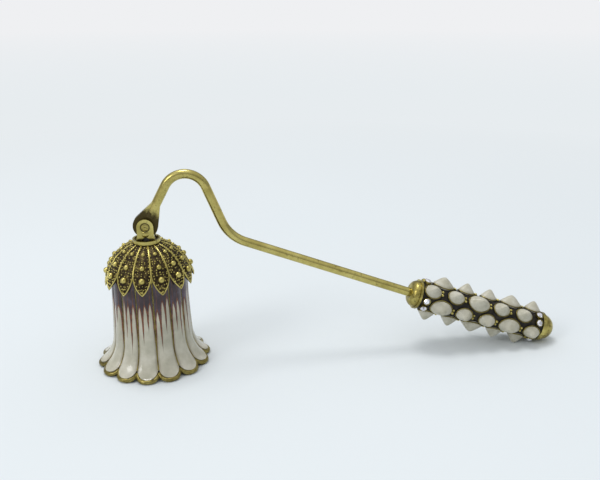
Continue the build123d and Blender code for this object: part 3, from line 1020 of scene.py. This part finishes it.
def stud_bezel(name, half_length, half_width):
    """The thin gold ring that holds a stud, lying on the round core."""
    route = []
    for step in range(48):
        turn = step / 48 * 2 * pi
        x = (half_length - bezel_inset) * cos(turn)
        y = (half_width - bezel_inset) * sin(turn)
        z = core_radius + bezel_lift - 0.75 * (core_radius - core_height(y))
        route.append((Vector((x, y, z)) * mm, 1.0))
    return wires(name, [route], bezel_wire_radius, 2, closed=True)


def pieces_of_row(row, small, large):
    shift = (row % 2) * stud_pitch / 2
    for index in range(studs_in_row):
        station = core_start + stud_margin + shift + row_lags[row] + index * stud_pitch
        shape = large if index in large_places[row % 2] else small
        yield index, shape, station


small_shape = enamel_stud("small_stud", *small_stud)
large_shape = enamel_stud("large_stud", *large_stud)
small_ring = stud_bezel("small_bezel", *small_stud)
large_ring = stud_bezel("large_bezel", *large_stud)
link = turned_shape("link", [(0.5, -0.6), (0.95, -0.15), (1.0, 0.15), (0.8, 0.6), (0.35, 0.95)], 12)
smooth(link)
bezels = []
links = []
for row in range(row_count):
    studs = []
    for index, shape, station in pieces_of_row(row, small_shape, large_shape):
        studs.append(copied(shape, f"stud_{row}_{index}", row_matrix(row, station)))
    for index, shape, station in pieces_of_row(row, small_ring, large_ring):
        bezels.append(copied(shape, f"bezel_{row}_{index}", row_matrix(row, station)))
        reach = large_stud[0] if shape is large_ring else small_stud[0]
        if index < studs_in_row - 1:
            for side in (-1, 1):
                corner = Vector((reach + link_gap, side * link_side, core_radius + link_lift))
                spot = Matrix.Translation(corner * mm)
                size = Matrix.Scale(dice.uniform(0.5, 0.72) * mm, 4)
                links.append(copied(link, f"link_{len(links)}", row_matrix(row, station) @ spot @ size))
    fitted(joined(f"studs_row_{row + 1}", studs), "handle", "stud_enamel", stud_cream, f"stud_row_{row + 1}")
fitted(joined("stud_bezels", bezels), "handle", "brass", tarnished)
fitted(joined("stud_links", links), "handle", "brass", brass)
for pattern in (small_shape, large_shape, small_ring, large_ring, link):
    bpy.data.objects.remove(pattern)


# Studio: a wide pale floor, the light of the room, two soft lamps and the camera

floor_half = 6.0
nothing_selected()
bpy.ops.mesh.primitive_plane_add(size=floor_half * 2)
floor = bpy.context.object
floor.name = "studio_floor"
coat(floor, floor_finish())

world = bpy.context.scene.world or bpy.data.worlds.new("studio_world")
bpy.context.scene.world = world
world.use_nodes = True
sky = world.node_tree
background = sky.nodes["Background"]
way = add(sky, "ShaderNodeTexCoord").outputs["Generated"]
up = add(sky, "ShaderNodeSeparateXYZ", {"Vector": way}).outputs["Z"]
room = ramp(sky, up, [(0.0, (0.10, 0.105, 0.11)), (0.35, (0.40, 0.42, 0.44)), (0.85, (0.90, 0.92, 0.95))])

# The camera and the shine on metal and glass see a pale backdrop, which ends low above the horizon
backdrop_fade = (0.08, 0.22)
rays = add(sky, "ShaderNodeLightPath").outputs
seen = calculate(sky, "MAXIMUM", rays["Is Camera Ray"], rays["Is Glossy Ray"])
seen = calculate(sky, "MAXIMUM", seen, rays["Is Transmission Ray"])
backdrop = blend_colours(sky, spread(sky, up, *backdrop_fade), horizon_colour, room)
sky.links.new(blend_colours(sky, seen, room, backdrop), background.inputs["Color"])
background.inputs["Strength"].default_value = 1.0


def soft_lamp(name, place, aim, size, power):
    """A square area lamp that looks at a point."""
    nothing_selected()
    bpy.ops.object.light_add(type="AREA", location=place)
    lamp = bpy.context.object
    lamp.name = name
    lamp.data.size = size
    lamp.data.energy = power
    lamp.rotation_euler = (Vector(aim) - Vector(place)).to_track_quat("-Z", "Y").to_euler()
    return lamp


soft_lamp("top_softbox", (-0.25, 0.25, 1.60), (0.0, 0.0, 0.0), 0.50, 8.0)
soft_lamp("side_softbox", (-1.25, -0.75, 0.95), (0.0, 0.0, 0.03), 0.60, 6.0)

nothing_selected()
bpy.ops.object.camera_add(location=bell_axis + camera_from_bell * mm)
camera = bpy.context.object
look = Vector((
    sin(camera_turn) * cos(camera_pitch),
    cos(camera_turn) * cos(camera_pitch),
    -sin(camera_pitch),
))
camera.rotation_euler = look.to_track_quat("-Z", "Y").to_euler()
camera.data.sensor_width = sensor_width
camera.data.lens = focal_pixels / photo_width * sensor_width
camera.data.clip_start = 0.01
camera.data.clip_end = 50.0
bpy.context.scene.camera = camera
bpy.context.scene.view_settings.view_transform = "Standard"
